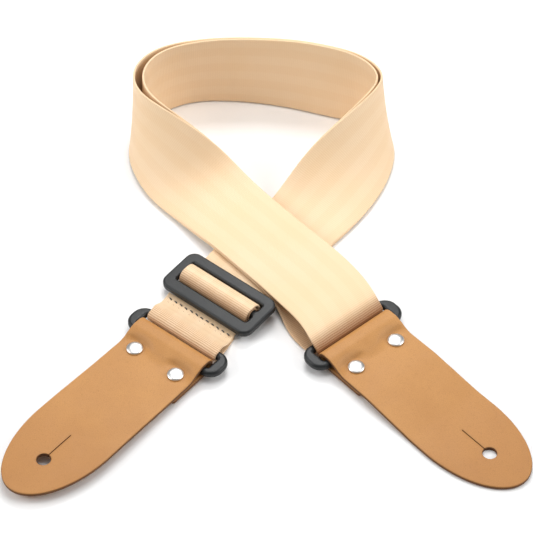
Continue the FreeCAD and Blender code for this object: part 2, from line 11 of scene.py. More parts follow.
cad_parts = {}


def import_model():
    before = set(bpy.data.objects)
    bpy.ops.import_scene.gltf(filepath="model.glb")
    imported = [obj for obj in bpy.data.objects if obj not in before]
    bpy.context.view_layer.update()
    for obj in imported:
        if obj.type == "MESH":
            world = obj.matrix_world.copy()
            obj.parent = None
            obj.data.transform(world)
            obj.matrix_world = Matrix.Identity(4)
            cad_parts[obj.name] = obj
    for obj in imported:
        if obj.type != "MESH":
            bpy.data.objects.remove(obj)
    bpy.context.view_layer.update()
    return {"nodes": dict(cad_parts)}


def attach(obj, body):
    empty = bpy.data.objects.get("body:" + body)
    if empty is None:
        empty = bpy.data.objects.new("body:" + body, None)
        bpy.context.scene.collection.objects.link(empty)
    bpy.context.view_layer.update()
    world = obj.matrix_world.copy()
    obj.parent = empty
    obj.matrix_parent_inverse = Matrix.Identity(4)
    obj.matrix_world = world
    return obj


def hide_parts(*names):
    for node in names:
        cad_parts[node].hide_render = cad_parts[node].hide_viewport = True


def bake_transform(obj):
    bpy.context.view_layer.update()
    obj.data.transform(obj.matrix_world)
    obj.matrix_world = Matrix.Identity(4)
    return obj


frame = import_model()

# ------------------------ sizes in mm
# They are the CAD model's, but for two: it has STRAP_IN_SLIDER at -0.4, and the slit is 0.8 wide there.

MM = 0.001
WIDTH = 50.0  # webbing
THICK = 1.3
LAYER_STEP = 1.45  # between the middles of two layers that lie on each other
FLOOR_MID = 0.75  # middle of a layer that lies on the floor
FLOOR_GAP = 0.1
JOIN_GAP = 0.3  # between the last station of one run and the first of the next
BAR = 2.2  # radius of a ring's bars
BAR_PLAY = 0.2  # between a bar and what is folded round it
FOLD_EASE = 0.1  # further room where webbing is folded round a ring's bar
ROLL_EASE = 0.6  # room between the right ring's bar and the roll
LEATHER = 2.4
RIVET_BASE = 0.8  # height of a rivet's base cap
RIVET_SIDE = 15.0  # from the middle of a leather end to each rivet
FLAP_GAP = 0.05  # between a leather end's tail and the flap over it
TAIL_MID = FLOOR_GAP + RIVET_BASE + LEATHER / 2
FOLD_RADIUS = BAR + BAR_PLAY + LEATHER / 2
BAR_HEIGHT = TAIL_MID + FOLD_RADIUS
FLAP_MID = TAIL_MID + LEATHER + FLAP_GAP
BAR_WRAP = BAR + BAR_PLAY + FOLD_EASE + THICK / 2
RING_PITCH = 13.5  # between the axes of a ring's two long bars
BAR_REACH = 12.0  # rivet line to the ring's leather-side bar
STRAP_SHIFT = 0.4  # of the strap in the rings, towards its inner edge
LEFT_TIP_LIFT = 4.2
ENDS = {
    "left": {"rivets": (-62.2, -66.5), "heading": 230.7, "tip": LEFT_TIP_LIFT + LEATHER / 2},
    "right": {"rivets": (60.2, -60.7), "heading": -49.1, "tip": FLOOR_GAP + LEATHER / 2},
}
SLIDER_HEADING = 50.0
SLIDER_MIDDLE = np.array((-27.4, -16.6, 0.0))
SLIDER_LIFT = 7.1  # height of its centre bar
SLIDER_BAR = 4.4
LOOP_SHARE = 0.6  # of the bar's size, from its axis to the loop's inside
STRAP_IN_SLIDER = -0.1
ROLL_END = 11.0  # far end of the roll over the slider's bar
ROLL_NEAR = 10.4  # its near end
LOOP_DIP = 2.6  # the loop starts to rise this far below the centre bar
TAIL_END = 23.0  # cut edge of the loop sewn to the slider
LEG_ROOM = 0.6
MAIN_LOW = FLOOR_MID + 2 * LAYER_STEP + LEG_ROOM
LOOP_RADIUS = SLIDER_BAR * LOOP_SHARE + BAR_PLAY + THICK / 2
SEAM_PLACE = 42.0  # where the webbing at the slider meets the long webbing
WRAP_TOP = 12.4  # roll at the right ring: height where it starts to fall
WRAP_LENGTH = 15.5
WRAP_SKEW = 0.26
TAB_SKEW = 0.25  # sideways drift of the sewn end for each mm

# Edges of the main layer from the slider round the loop to the right ring: outer edge, inner
# edge, and the room between it and the return layer inside it.
LOOP = [
    ((8.5, -9, 4.3), (-29.5, 24, 4.3), 2.2),
    ((22.5, 8, 2.9), (-15.5, 41, 2.9), 0.7),
    ((36.5, 25.5, 2.6), (-2, 57, 3.2), 0.3),
    ((50, 42, 2.5), (11, 71.5, 11.5), 0.2),
    ((62, 60, 2.1), (24.5, 81.5, 26), 0.2),
    ((71.5, 80, 1.7), (40.5, 90.5, 38.5), 0.3),
    ((77, 101, 1.3), (56.5, 103, 46.5), 0.8),
    ((74.5, 122, 1.0), (68.5, 120.5, 51), 1.6),
    ((58.5, 135.5, 0.9), (59.5, 138.5, 51), 1.0),
    ((37.5, 142.5, 0.9), (39.5, 149.5, 50.5), 0.3),
    ((16.5, 149.5, 0.9), (18, 155, 50.5), 0.2),
    ((-4.5, 154.5, 0.9), (-4, 157, 50.5), 0.2),
    ((-26.5, 157, 0.9), (-26, 157, 50.5), 0.2),
    ((-48.5, 155.5, 0.9), (-48, 154, 50.5), 0.7),
    ((-68, 146.5, 0.9), (-68.5, 145.5, 50.5), 2.6),
    ((-80.5, 128.5, 1.0), (-80, 127, 50.5), 4.4),
    ((-84.5, 107.5, 1.7), (-75, 106.5, 50), 3.6),
    ((-80, 87, 2.5), (-58, 93.5, 44.5), 1.6),
    ((-70.5, 68, 2.6), (-40, 86.5, 34.5), 0.5),
    ((-58, 51.5, 3.0), (-23, 82.5, 20.5), 0.3),
    ((-45, 36, 5.2), (-8, 69.5, 12.5), 0.3),
    ((-31.5, 20, 7.6), (6, 54, 10.8), 0.3),
    ((-18, 4, 7.9), (20, 38, 10.6), 0.3),
    ((-5, -11, 8.2), (33.5, 22, 11), 0.3),
    ((7, -27, 9.8), (46, 5, 12.3), 0.3),
]
RETURN_STRIP = [
    ((-5.5, -11.5, 6.5), (33, 22.5, 6.2)),
    ((4.8, -26, 4.8), (43.6, 7, 3.2)),
    ((10.5, -38.5, 1.7), (50, -7, 1.4)),
    ((20, -52.5, 1.1), (58.5, -21, 1.0)),
]


def direction(degrees):
    return np.array((math.cos(math.radians(degrees)), math.sin(math.radians(degrees)), 0.0))


def unit(vectors):
    return vectors / np.linalg.norm(vectors, axis=-1, keepdims=True)


# ------------------------ curves

def steps_of(points):
    return np.linalg.norm(np.diff(points, axis=0), axis=1)


def lengths_along(points):
    return np.concatenate(([0], np.cumsum(steps_of(points))))


def smooth_through(points, knots, places):
    """Values of a smooth cubic curve through points, at the given places along it."""
    h = np.diff(knots)
    d = np.diff(points, axis=0) / h[:, None]
    count = len(knots)
    matrix = np.zeros((count, count))
    right = np.zeros((count, points.shape[1]))
    matrix[0, 0] = matrix[-1, -1] = 1
    right[0] = d[0] - (d[1] - d[0]) * h[0] / (h[0] + h[1])
    right[-1] = d[-1] + (d[-1] - d[-2]) * h[-1] / (h[-1] + h[-2])
    for i in range(1, count - 1):
        matrix[i, i - 1:i + 2] = h[i], 2 * (h[i - 1] + h[i]), h[i - 1]
        right[i] = 3 * (h[i] * d[i - 1] + h[i - 1] * d[i])
    slope = np.linalg.solve(matrix, right)
    span = np.clip(np.searchsorted(knots, places, side="right") - 1, 0, count - 2)
    t = ((places - knots[span]) / h[span])[:, None]
    step = h[span][:, None]
    a, b = points[span], points[span + 1]
    return (a * (2 * t ** 3 - 3 * t ** 2 + 1) + b * (3 * t ** 2 - 2 * t ** 3)
            + slope[span] * step * (t ** 3 - 2 * t ** 2 + t) + slope[span + 1] * step * (t ** 3 - t ** 2))


def run_through(stations, spacing=0.25):
    """Dense edges (outer, inner) of flat webbing through stations, brought to the strap's width."""
    low = np.array([s[0] for s in stations], float)
    high = np.array([s[1] for s in stations], float)
    across = unit(high - low)
    middle = (high + low) / 2
    middle[:, 2] = low[:, 2] + across[:, 2] * WIDTH / 2
    low, high = middle - across * WIDTH / 2, middle + across * WIDTH / 2
    knots = lengths_along(middle)
    places = np.linspace(0, knots[-1], int(knots[-1] / spacing) + 1)
    return smooth_through(low, knots, places), smooth_through(high, knots, places)


def rounded_line(points, radii, spacing=0.2):
    """Dense points of a polyline with round corners, in its plane."""
    points = [np.array(p, float) for p in points]
    out = [points[0]]
    for before, corner, after, radius in zip(points, points[1:], points[2:], radii):
        back, ahead = unit(before - corner), unit(after - corner)
        turn = math.pi - math.acos(float(np.clip(back @ ahead, -1, 1)))
        reach = radius * math.tan(turn / 2)
        start = corner + back * reach
        bisector = unit(back + ahead)
        centre = corner + bisector * radius / math.cos(turn / 2)
        count = max(3, int(radius * turn / spacing))
        spoke = start - centre
        sign = -math.copysign(1, back[0] * ahead[1] - back[1] * ahead[0])
        for i in range(count + 1):
            angle = sign * turn * i / count
            c, s = math.cos(angle), math.sin(angle)
            out.append(centre + np.array((spoke[0] * c - spoke[1] * s, spoke[0] * s + spoke[1] * c)))
    out.append(points[-1])
    dense = [out[0]]
    for a, b in zip(out, out[1:]):
        gap = np.linalg.norm(b - a)
        if gap < 1e-6:
            continue
        count = max(1, int(gap / spacing))
        dense += [a + (b - a) * i / count for i in range(1, count + 1)]
    return np.array(dense)


def bar_station(side, back, height, shift):
    end = ENDS[side]
    along = direction(end["heading"])
    inner = direction(end["heading"] + (90 if side == "right" else -90))
    bar = np.array((*end["rivets"], 0.0)) - along * (BAR_REACH + RING_PITCH)
    middle = bar - along * back + inner * shift + np.array((0, 0, height))
    return middle - inner * WIDTH / 2, middle + inner * WIDTH / 2


def slider_point(along, across, height=0.0):
    return (SLIDER_MIDDLE + direction(SLIDER_HEADING) * along
            + direction(SLIDER_HEADING - 90) * across + np.array((0, 0, height)))


def slider_station(along, height):
    return (slider_point(along, STRAP_IN_SLIDER + WIDTH / 2, height),
            slider_point(along, STRAP_IN_SLIDER - WIDTH / 2, height))


def slider_run(points, radii):
    """Dense edges of webbing bent in the slider's side view."""
    line = rounded_line(points, radii)
    pairs = [slider_station(along, height) for along, height in line]
    return np.array([p[0] for p in pairs]), np.array([p[1] for p in pairs])


def joined(*runs):
    return np.concatenate([r[0] for r in runs]), np.concatenate([r[1] for r in runs])


def softened(run, reach):
    """A run with its small kinks smoothed over, its two ends kept."""
    out = []
    for edge in run:
        step = steps_of(edge).mean()
        half = max(1, int(reach / step))
        padded = np.concatenate((np.repeat(edge[:1], half, 0), edge, np.repeat(edge[-1:], half, 0)))
        kernel = np.hanning(2 * half + 3)[1:-1]
        kernel /= kernel.sum()
        smooth = np.stack([np.convolve(padded[:, k], kernel, "valid") for k in range(3)], 1)
        ramp = np.clip(np.minimum(np.arange(len(edge)), np.arange(len(edge))[::-1]) / half, 0, 1)[:, None]
        out.append(edge + (smooth - edge) * ramp)
    return out[0], out[1]


# ------------------------ mesh building

def make_object(name, vertices, faces, uv=None, attributes=None):
    """Mesh object from vertices in mm; uv is per vertex, in mm along and across."""
    mesh = bpy.data.meshes.new(name)
    mesh.from_pydata((np.asarray(vertices) * MM).tolist(), [], faces)
    if uv is not None:
        layer = mesh.uv_layers.new(name="cloth")
        corner = np.zeros(len(mesh.loops), int)
        mesh.loops.foreach_get("vertex_index", corner)
        layer.data.foreach_set("uv", np.asarray(uv, float)[corner].ravel())
    for key, values in (attributes or {}).items():
        layer = mesh.attributes.new(key, "FLOAT", "POINT")
        layer.data.foreach_set("value", np.asarray(values, np.float32))
    mesh.polygons.foreach_set("use_smooth", [True] * len(mesh.polygons))
    mesh.update()
    mesh.validate()
    piece = bpy.data.objects.new(name, mesh)
    bpy.context.scene.collection.objects.link(piece)
    return piece


ACROSS_COUNT = 44
EDGE_COUNT = 5
RIB_PITCH = 1.15
FINE_STEP = 0.22  # between cross-sections where real ribs are modelled
FULL_BEND = 0.12  # radians for each mm at which the ribs stand fully open


def webbing_section():
    """Section of the webbing: (across, height, side) with round selvedges."""
    half, t = WIDTH / 2, THICK / 2
    flat = half - t
    top = [(x, t, 1.0) for x in np.linspace(-flat, flat, ACROSS_COUNT)]
    arc = [math.pi / 2 - math.pi * (i + 1) / (EDGE_COUNT + 1) for i in range(EDGE_COUNT)]
    right = [(flat + t * math.cos(a), t * math.sin(a), math.sin(a)) for a in arc]
    bottom = [(x, -t, -1.0) for x in np.linspace(flat, -flat, ACROSS_COUNT)]
    left = [(-flat - t * math.cos(a), t * -math.sin(a), -math.sin(a)) for a in arc]
    return np.array(top + right + bottom + left)


def webbing(name, run, start_along=0.0, step=0.9, fine=(), ribs=0.0, painted_shade_spans=()):
    """A length of webbing: dense edge run resampled, with ribs that open where it bends.

    fine: list of (from, to) stretches in mm along the piece that are sampled finely and carry
    real ribs of height ribs. painted_shade_spans: (from, to, amount) stretches over which painted
    shade grows deeper, towards the inside of a roll and where the webbing lies in shadow.
    """
    low, high = run
    middle = (low + high) / 2
    keep = np.concatenate(([True], steps_of(middle) > 1e-6))
    low, high, middle = low[keep], high[keep], middle[keep]
    length_at = lengths_along(middle)
    total = length_at[-1]
    places = [0.0]
    while places[-1] < total - 1e-6:
        here = places[-1]
        size = step
        for a, b in fine:
            if a <= here < b:
                size = FINE_STEP
        places.append(min(total, here + size))
    places = np.array(places)

    def at(values):
        return np.stack([np.interp(places, length_at, values[:, k]) for k in range(3)], 1)

    low, high = at(low), at(high)
    middle = (low + high) / 2
    across = unit(high - low)
    along = unit(np.gradient(middle, places, axis=0))
    normal = unit(np.cross(along, across))
    turn = np.linalg.norm(np.gradient(along, places, axis=0), axis=1)
    window = np.exp(-np.linspace(-2, 2, 9) ** 2)
    turn = np.convolve(np.pad(turn, 4, mode="edge"), window / window.sum(), "valid")
    bend = np.clip(turn / FULL_BEND, 0, 1)
    in_fine = np.zeros(len(places))
    for a, b in fine:
        ramp = np.clip(np.minimum(places - a, b - places) / 4, 0, 1)
        in_fine = np.maximum(in_fine, ramp)
    # Painted shade along the piece, growing over each given stretch; it darkens the colour and the rib
    # grooves
    painted_shade = np.zeros(len(places))
    for a, b, amount in painted_shade_spans:
        share = np.clip((places - a) / (b - a), 0, 1)
        painted_shade = np.maximum(painted_shade, amount * share ** 2 * (3 - 2 * share))
    section = webbing_section()
    ridge = 0.5 - 0.5 * np.cos(2 * math.pi * (places + start_along) / RIB_PITCH)
    rib = ribs * in_fine * (0.35 + 0.65 * bend) * ridge
    count = len(section)
    across_at, height, side = section.T
    vertices = []
    for i in range(len(places)):
        cloth = height - side * rib[i] * np.minimum(1, (WIDTH / 2 - np.abs(across_at)) / 1.2)
        vertices.append(middle[i] + across[i] * across_at[:, None] + normal[i] * cloth[:, None])
    vertices = np.concatenate(vertices)
    uv = np.stack((np.repeat(places + start_along, count), np.tile(across_at, len(places))), 1)
    faces = []
    for i in range(len(places) - 1):
        a, b = i * count, (i + 1) * count
        for j in range(count):
            k = (j + 1) % count
            faces.append((a + j, b + j, b + k, a + k))
    last = (len(places) - 1) * count
    top = list(range(ACROSS_COUNT))
    for base, flip in ((0, False), (last, True)):
        lower = [2 * ACROSS_COUNT + EDGE_COUNT - 1 - j for j in top]
        for j in top[:-1]:
            quad = (base + j, base + j + 1, base + lower[j + 1], base + lower[j])
            faces.append(quad[::-1] if flip else quad)
        right = [base + ACROSS_COUNT - 1 + j for j in range(EDGE_COUNT + 2)]
        left = [base + (2 * ACROSS_COUNT + EDGE_COUNT - 1 + j) % count for j in range(EDGE_COUNT + 2)]
        for fan in (right, left):
            faces.append(tuple(fan[::-1]) if flip else tuple(fan))
    piece = make_object(name, vertices, [f[::-1] for f in faces], uv,
                        {"bend": np.repeat(bend, count), "painted_shade": np.repeat(painted_shade, count)})
    return piece, total


# ------------------------ materials

def new_material(name):
    material = bpy.data.materials.new(name)
    material.use_nodes = True
    tree = material.node_tree
    return material, Nodes(tree), tree.nodes["Principled BSDF"]


class Nodes:
    """Short calls for wiring a material's nodes."""

    def __init__(self, tree):
        self.tree = tree

    def add(self, kind, **settings):
        node = self.tree.nodes.new(kind)
        for key, value in settings.items():
            setattr(node, key, value)
        return node

    def plug(self, socket, value):
        if isinstance(value, bpy.types.NodeSocket):
            self.tree.links.new(value, socket)
        else:
            socket.default_value = value

    def math(self, operation, a, b=0.0, c=0.0, clamp=False):
        node = self.add("ShaderNodeMath", operation=operation, use_clamp=clamp)
        for socket, value in zip(node.inputs, (a, b, c)):
            self.plug(socket, value)
        return node.outputs[0]

    def mix(self, factor, a, b):
        node = self.add("ShaderNodeMix", data_type="RGBA")
        self.plug(node.inputs["Factor"], factor)
        colours = [s for s in node.inputs if s.type == "RGBA"]
        self.plug(colours[0], a)
        self.plug(colours[1], b)
        return [s for s in node.outputs if s.type == "RGBA"][0]

    def noise(self, vector, scale, detail=3.0, rough=0.5, distortion=0.0):
        node = self.add("ShaderNodeTexNoise")
        self.plug(node.inputs["Vector"], vector)
        node.inputs["Scale"].default_value = scale
        node.inputs["Detail"].default_value = detail
        node.inputs["Roughness"].default_value = rough
        node.inputs["Distortion"].default_value = distortion
        return node.outputs["Fac"]

    def remap(self, value, low, high, to_low=0.0, to_high=1.0):
        node = self.add("ShaderNodeMapRange", interpolation_type="SMOOTHSTEP")
        for socket, number in zip(node.inputs, (value, low, high, to_low, to_high)):
            self.plug(socket, number)
        return node.outputs[0]

    def bump(self, height, distance, strength=1.0, normal=None):
        node = self.add("ShaderNodeBump")
        node.inputs["Strength"].default_value = strength
        node.inputs["Distance"].default_value = distance
        self.plug(node.inputs["Height"], height)
        if normal is not None:
            self.plug(node.inputs["Normal"], normal)
        return node.outputs["Normal"]

    def object_place(self):
        return self.add("ShaderNodeTexCoord").outputs["Object"]

    def cloth_place(self):
        uv = self.add("ShaderNodeUVMap", uv_map="cloth").outputs["UV"]
        split = self.add("ShaderNodeSeparateXYZ")
        self.plug(split.inputs[0], uv)
        return uv, split.outputs[0], split.outputs[1]

    def attribute(self, name):
        return self.add("ShaderNodeAttribute", attribute_name=name).outputs["Fac"]


def rgb(r, g, b):
    """Colour from sRGB numbers out of 255."""
    linear = [(c / 255 / 12.92) if c <= 10 else ((c / 255 + 0.055) / 1.055) ** 2.4 for c in (r, g, b)]
    return (*linear, 1.0)


YARN_PITCH = 0.62
PANEL_PITCH = 12.5


def webbing_material():
    material, n, shader = new_material("webbing_weave")
    uv, along, across = n.cloth_place()
    bend = n.attribute("bend")
    painted_shade = n.attribute("painted_shade")
    two_pi = 2 * math.pi
    drift = n.noise(uv, 0.12, 2.0)
    shifted = n.math("ADD", along, n.math("MULTIPLY", drift, 0.8))
    rib = n.math("SINE", n.math("MULTIPLY", shifted, two_pi / RIB_PITCH))
    yarn = n.math("SINE", n.math("MULTIPLY", across, two_pi / YARN_PITCH))
    # Twill: each yarn passes over at its own place along the strap
    step = n.math("MULTIPLY", n.math("ADD", n.math("MULTIPLY", along, 1 / RIB_PITCH),
                                     n.math("MULTIPLY", across, 0.5 / YARN_PITCH)), two_pi)
    twill = n.math("MULTIPLY", n.math("SINE", step), n.math("ABSOLUTE", yarn))
    # Lengthwise panels of the weave
    panel = n.math("SINE", n.math("MULTIPLY", across, two_pi / PANEL_PITCH))
    panel_step = n.remap(panel, -0.25, 0.25)
    selvedge = n.remap(n.math("ABSOLUTE", across), 22.2, 23.2)
    blotch = n.noise(n.object_place(), 28.0, 3.0)
    fibre = n.noise(uv, 2.2, 3.0, 0.6)
    light, mid, dark = rgb(239, 210, 174), rgb(237, 206, 168), rgb(160, 98, 46)
    colour = n.mix(panel_step, light, mid)
    colour = n.mix(n.remap(blotch, 0.3, 0.75, 0.0, 0.35), colour, rgb(234, 199, 152))
    # Painted shade: the grooves between the ribs are darkened towards the dark colour, more where the webbing
    # bends and where painted shade is set along the piece
    groove = n.remap(rib, -1.0, 0.15, 1.0, 0.0)
    groove_shade_amount = n.math("MULTIPLY_ADD", bend, 0.36, 0.03)
    groove_shade_amount = n.math("MULTIPLY_ADD", painted_shade, 0.7, groove_shade_amount, clamp=True)
    depth = n.math("MULTIPLY", groove, groove_shade_amount)
    colour = n.mix(depth, colour, dark)
    # Painted shade: over the stretches set along each piece the colour goes towards a deep brown, on the
    # insides of the rolls and on strips that lie in shadow
    colour = n.mix(painted_shade, colour, rgb(138, 80, 20))
    colour = n.mix(n.remap(fibre, 0.35, 0.7, 0.0, 0.18), colour, rgb(244, 220, 188))
    n.plug(shader.inputs["Base Color"], colour)
    rough = n.math("MULTIPLY_ADD", fibre, 0.16, 0.40)
    n.plug(shader.inputs["Roughness"], rough)
    shader.inputs["Specular IOR Level"].default_value = 0.26
    shader.inputs["Sheen Weight"].default_value = 0.05
    shader.inputs["Sheen Roughness"].default_value = 0.45
    shader.inputs["Sheen Tint"].default_value = rgb(255, 232, 205)
    weave = n.math("ADD", n.math("MULTIPLY", rib, 0.45), n.math("MULTIPLY", yarn, 0.25))
    weave = n.math("ADD", weave, n.math("MULTIPLY", twill, 0.3))
    weave = n.math("ADD", weave, n.math("MULTIPLY", selvedge, 0.5))
    normal = n.bump(weave, 0.00005, 0.8)
    normal = n.bump(n.noise(n.object_place(), 90.0, 2.0), 0.0003, 0.35, normal)
    n.plug(shader.inputs["Normal"], normal)
    return material


def leather_material():
    material, n, shader = new_material("leather_smooth")
    place = n.object_place()
    raw_edge = n.attribute("raw_edge")
    broad = n.noise(place, 22.0, 4.0, 0.55, 0.6)
    cloud = n.noise(place, 75.0, 3.0)
    grain_node = n.add("ShaderNodeTexVoronoi", feature="DISTANCE_TO_EDGE")
    warp = n.add("ShaderNodeVectorMath", operation="ADD")
    warp_noise = n.add("ShaderNodeTexNoise")
    n.plug(warp_noise.inputs["Vector"], place)
    warp_noise.inputs["Scale"].default_value = 900.0
    scaled = n.add("ShaderNodeVectorMath", operation="SCALE")
    n.plug(scaled.inputs[0], warp_noise.outputs["Color"])
    scaled.inputs["Scale"].default_value = 0.0006
    n.plug(warp.inputs[0], place)
    n.plug(warp.inputs[1], scaled.outputs[0])
    n.plug(grain_node.inputs["Vector"], warp.outputs[0])
    grain_node.inputs["Scale"].default_value = 1100.0
    grain = n.remap(grain_node.outputs["Distance"], 0.0, 0.12)
    base = n.mix(n.remap(broad, 0.3, 0.7), rgb(186, 132, 73), rgb(194, 140, 80))
    base = n.mix(n.remap(cloud, 0.4, 0.75, 0.0, 0.35), base, rgb(201, 147, 86))
    along = n.cloth_place()[1]
    base = n.mix(n.remap(along, 80.0, 150.0, 0.0, 0.4), base, rgb(168, 112, 58))
    base = n.mix(n.math("MULTIPLY", n.math("SUBTRACT", 1.0, grain), 0.22), base, rgb(134, 84, 42))
    pores = n.noise(place, 1500.0, 2.0)
    base = n.mix(n.remap(pores, 0.62, 0.78, 0.0, 0.35), base, rgb(126, 78, 38))
    fibres = n.noise(place, 700.0, 4.0, 0.7)
    edge_colour = n.mix(fibres, rgb(74, 44, 22), rgb(122, 80, 44))
    colour = n.mix(raw_edge, base, edge_colour)
    n.plug(shader.inputs["Base Color"], colour)
    rough = n.math("MULTIPLY_ADD", cloud, 0.18, 0.42)
    n.plug(shader.inputs["Roughness"], n.math("MULTIPLY_ADD", raw_edge, 0.25, rough))
    shader.inputs["Specular IOR Level"].default_value = 0.4
    height = n.math("ADD", n.math("MULTIPLY", grain, 0.6), n.math("MULTIPLY", pores, 0.4))
    normal = n.bump(height, 0.00006, 0.5)
    normal = n.bump(n.noise(place, 160.0, 3.0), 0.00025, 0.35, normal)
    n.plug(shader.inputs["Normal"], normal)
    return material


def plastic_material():
    material, n, shader = new_material("moulded_plastic")
    place = n.object_place()
    wear = n.noise(place, 60.0, 4.0, 0.6)
    fine = n.noise(place, 2200.0, 3.0, 0.6)
    geometry = n.add("ShaderNodeNewGeometry")
    edge = n.remap(geometry.outputs["Pointiness"], 0.52, 0.60)
    worn = n.math("MULTIPLY", edge, n.remap(wear, 0.35, 0.65))
    colour = n.mix(n.remap(wear, 0.3, 0.7), (0.011, 0.0125, 0.013, 1), (0.019, 0.0205, 0.021, 1))
    colour = n.mix(n.math("MULTIPLY", worn, 0.5), colour, (0.05, 0.052, 0.054, 1))
    n.plug(shader.inputs["Base Color"], colour)
    n.plug(shader.inputs["Roughness"], n.math("MULTIPLY_ADD", fine, 0.14, 0.34))
    shader.inputs["Specular IOR Level"].default_value = 0.36
    normal = n.bump(fine, 0.00003, 0.5)
    normal = n.bump(n.noise(place, 130.0, 2.0), 0.0002, 0.2, normal)
    n.plug(shader.inputs["Normal"], normal)
    return material


def metal_material():
    material, n, shader = new_material("nickel_rivet")
    place = n.object_place()
    smear = n.noise(place, 420.0, 4.0, 0.6)
    scratch = n.add("ShaderNodeTexWave", wave_type="BANDS", bands_direction="DIAGONAL")
    n.plug(scratch.inputs["Vector"], place)
    scratch.inputs["Scale"].default_value = 900.0
    scratch.inputs["Distortion"].default_value = 9.0
    scratch.inputs["Detail"].default_value = 3.0
    n.plug(shader.inputs["Base Color"], n.mix(smear, (0.74, 0.74, 0.73, 1), (0.86, 0.86, 0.85, 1)))
    shader.inputs["Metallic"].default_value = 1.0
    n.plug(shader.inputs["Roughness"], n.math("MULTIPLY_ADD", smear, 0.14, 0.3))
    height = n.math("ADD", n.math("MULTIPLY", scratch.outputs["Fac"], 0.3), smear)
    n.plug(shader.inputs["Normal"], n.bump(height, 0.00004, 0.35))
    return material


def thread_material(name, light, dark):
    material, n, shader = new_material(name)
    along, around = n.cloth_place()[1:]
    ply = n.math("SINE", n.math("ADD", n.math("MULTIPLY", along, 14.0), around))
    fuzz = n.noise(n.object_place(), 2600.0, 3.0, 0.7)
    shade = n.math("MULTIPLY_ADD", ply, 0.35, n.math("MULTIPLY", fuzz, 0.6), clamp=True)
    n.plug(shader.inputs["Base Color"], n.mix(shade, dark, light))
    n.plug(shader.inputs["Roughness"], n.math("MULTIPLY_ADD", fuzz, 0.2, 0.5))
    shader.inputs["Sheen Weight"].default_value = 0.2
    n.plug(shader.inputs["Normal"], n.bump(n.math("ADD", ply, fuzz), 0.00006, 0.8))
    return material


def floor_material():
    material, n, shader = new_material("studio_floor")
    paper = n.noise(n.object_place(), 40.0, 3.0)
    n.plug(shader.inputs["Base Color"], n.mix(paper, (0.92, 0.92, 0.92, 1), (0.93, 0.93, 0.93, 1)))
    shader.inputs["Roughness"].default_value = 0.75
    shader.inputs["Specular IOR Level"].default_value = 0.2
    return material


WEBBING = webbing_material()
LEATHER_LOOK = leather_material()
PLASTIC = plastic_material()
METAL = metal_material()
DARK_THREAD = thread_material("thread_dark", (0.06, 0.06, 0.07, 1), (0.012, 0.012, 0.015, 1))
PALE_THREAD = thread_material("thread_pale", rgb(236, 204, 164), rgb(170, 120, 74))


def dress(piece, material):
    piece.data.materials.clear()
    piece.data.materials.append(material)


# ------------------------ webbing pieces

def inside_of(stations, gaps):
    middles = [(np.array(a) + np.array(b)) / 2 for a, b in stations]
    moved = []
    for i, (low, high) in enumerate(stations):
        low, high = np.array(low, float), np.array(high, float)
        before, after = middles[max(i - 1, 0)], middles[min(i + 1, len(middles) - 1)]
        step = unit(np.cross(after - before, high - low)) * -(THICK + gaps[i])
        moved.append((low + step, high + step))
    return moved


def ring_wrap_stations():
    nose = BAR_WRAP + ROLL_EASE
    top_height, low_length = WRAP_TOP - BAR_HEIGHT, BAR_HEIGHT - FLOOR_MID
    stations = []
    for angle in (90, 70, 50, 32, 15, 0):
        place = math.radians(angle)
        back = WRAP_LENGTH * (1 - math.cos(place)) - nose
        shift = STRAP_SHIFT + WRAP_SKEW * max(back, 0)
        stations.append((back, BAR_HEIGHT + top_height * math.sin(place), shift))
    for angle in (22, 45, 67, 90):
        place = math.radians(angle)
        stations.append((low_length * (1 - math.cos(place)) - nose, BAR_HEIGHT - low_length * math.sin(place),
                         STRAP_SHIFT))
    return [bar_station("right", *s) for s in stations]


def tab_stations():
    resting = FLOOR_MID + LAYER_STEP
    top = [(21.0, resting), (17.8, resting + 0.04), (14.4, resting + 0.55), (10.6, BAR_HEIGHT - 1.5),
           (6.8, BAR_HEIGHT + BAR_WRAP * 0.36), (3.5, BAR_HEIGHT + BAR_WRAP * 0.9)]
    low = [(3.2, BAR_HEIGHT - BAR_WRAP - 0.2), (6.4, FLOOR_MID + 0.9), (10.0, FLOOR_MID + 0.3),
           (14.0, FLOOR_MID), (19.0, FLOOR_MID)]
    stations = [bar_station("left", back, height, STRAP_SHIFT + TAB_SKEW * back) for back, height in top]
    for angle in (90, 118, 146, 180, 214, 242, 270):
        place = math.radians(angle)
        back, height = BAR_WRAP * math.cos(place), BAR_HEIGHT + BAR_WRAP * math.sin(place)
        stations.append(bar_station("left", back, height, STRAP_SHIFT))
    stations += [bar_station("left", back, height, STRAP_SHIFT + TAB_SKEW * back) for back, height in low]
    return stations


heading = direction(SLIDER_HEADING)


def past_slider(middle):
    return (middle - SLIDER_MIDDLE) @ heading


near_low = FLOOR_MID + LAYER_STEP
crown = SLIDER_LIFT + LOOP_RADIUS + LAYER_STEP
roll = slider_run([(-ROLL_NEAR, near_low), (-6.6, near_low), (-5.3, crown), (5.3, crown), (6.6, MAIN_LOW),
                   (ROLL_END, MAIN_LOW)], [1.5, 4.8, 4.8, 1.2])
main_stations = [slider_station(ROLL_END + JOIN_GAP, MAIN_LOW)] + [(a, b) for a, b, gap in LOOP]
main_stations += ring_wrap_stations()
main_run = run_through(main_stations)

inner_count = len(LOOP) - 2
gaps = [gap for a, b, gap in LOOP][:inner_count]
inner_stations = [slider_station(ROLL_END + JOIN_GAP, FLOOR_MID)]
inner_stations += inside_of([(a, b) for a, b, gap in LOOP][:inner_count], gaps) + RETURN_STRIP
wrap_end = BAR_HEIGHT - FLOOR_MID - BAR_WRAP - ROLL_EASE
inner_stations += [bar_station("right", wrap_end + JOIN_GAP, FLOOR_MID, STRAP_SHIFT)]
inner_run = run_through(inner_stations)

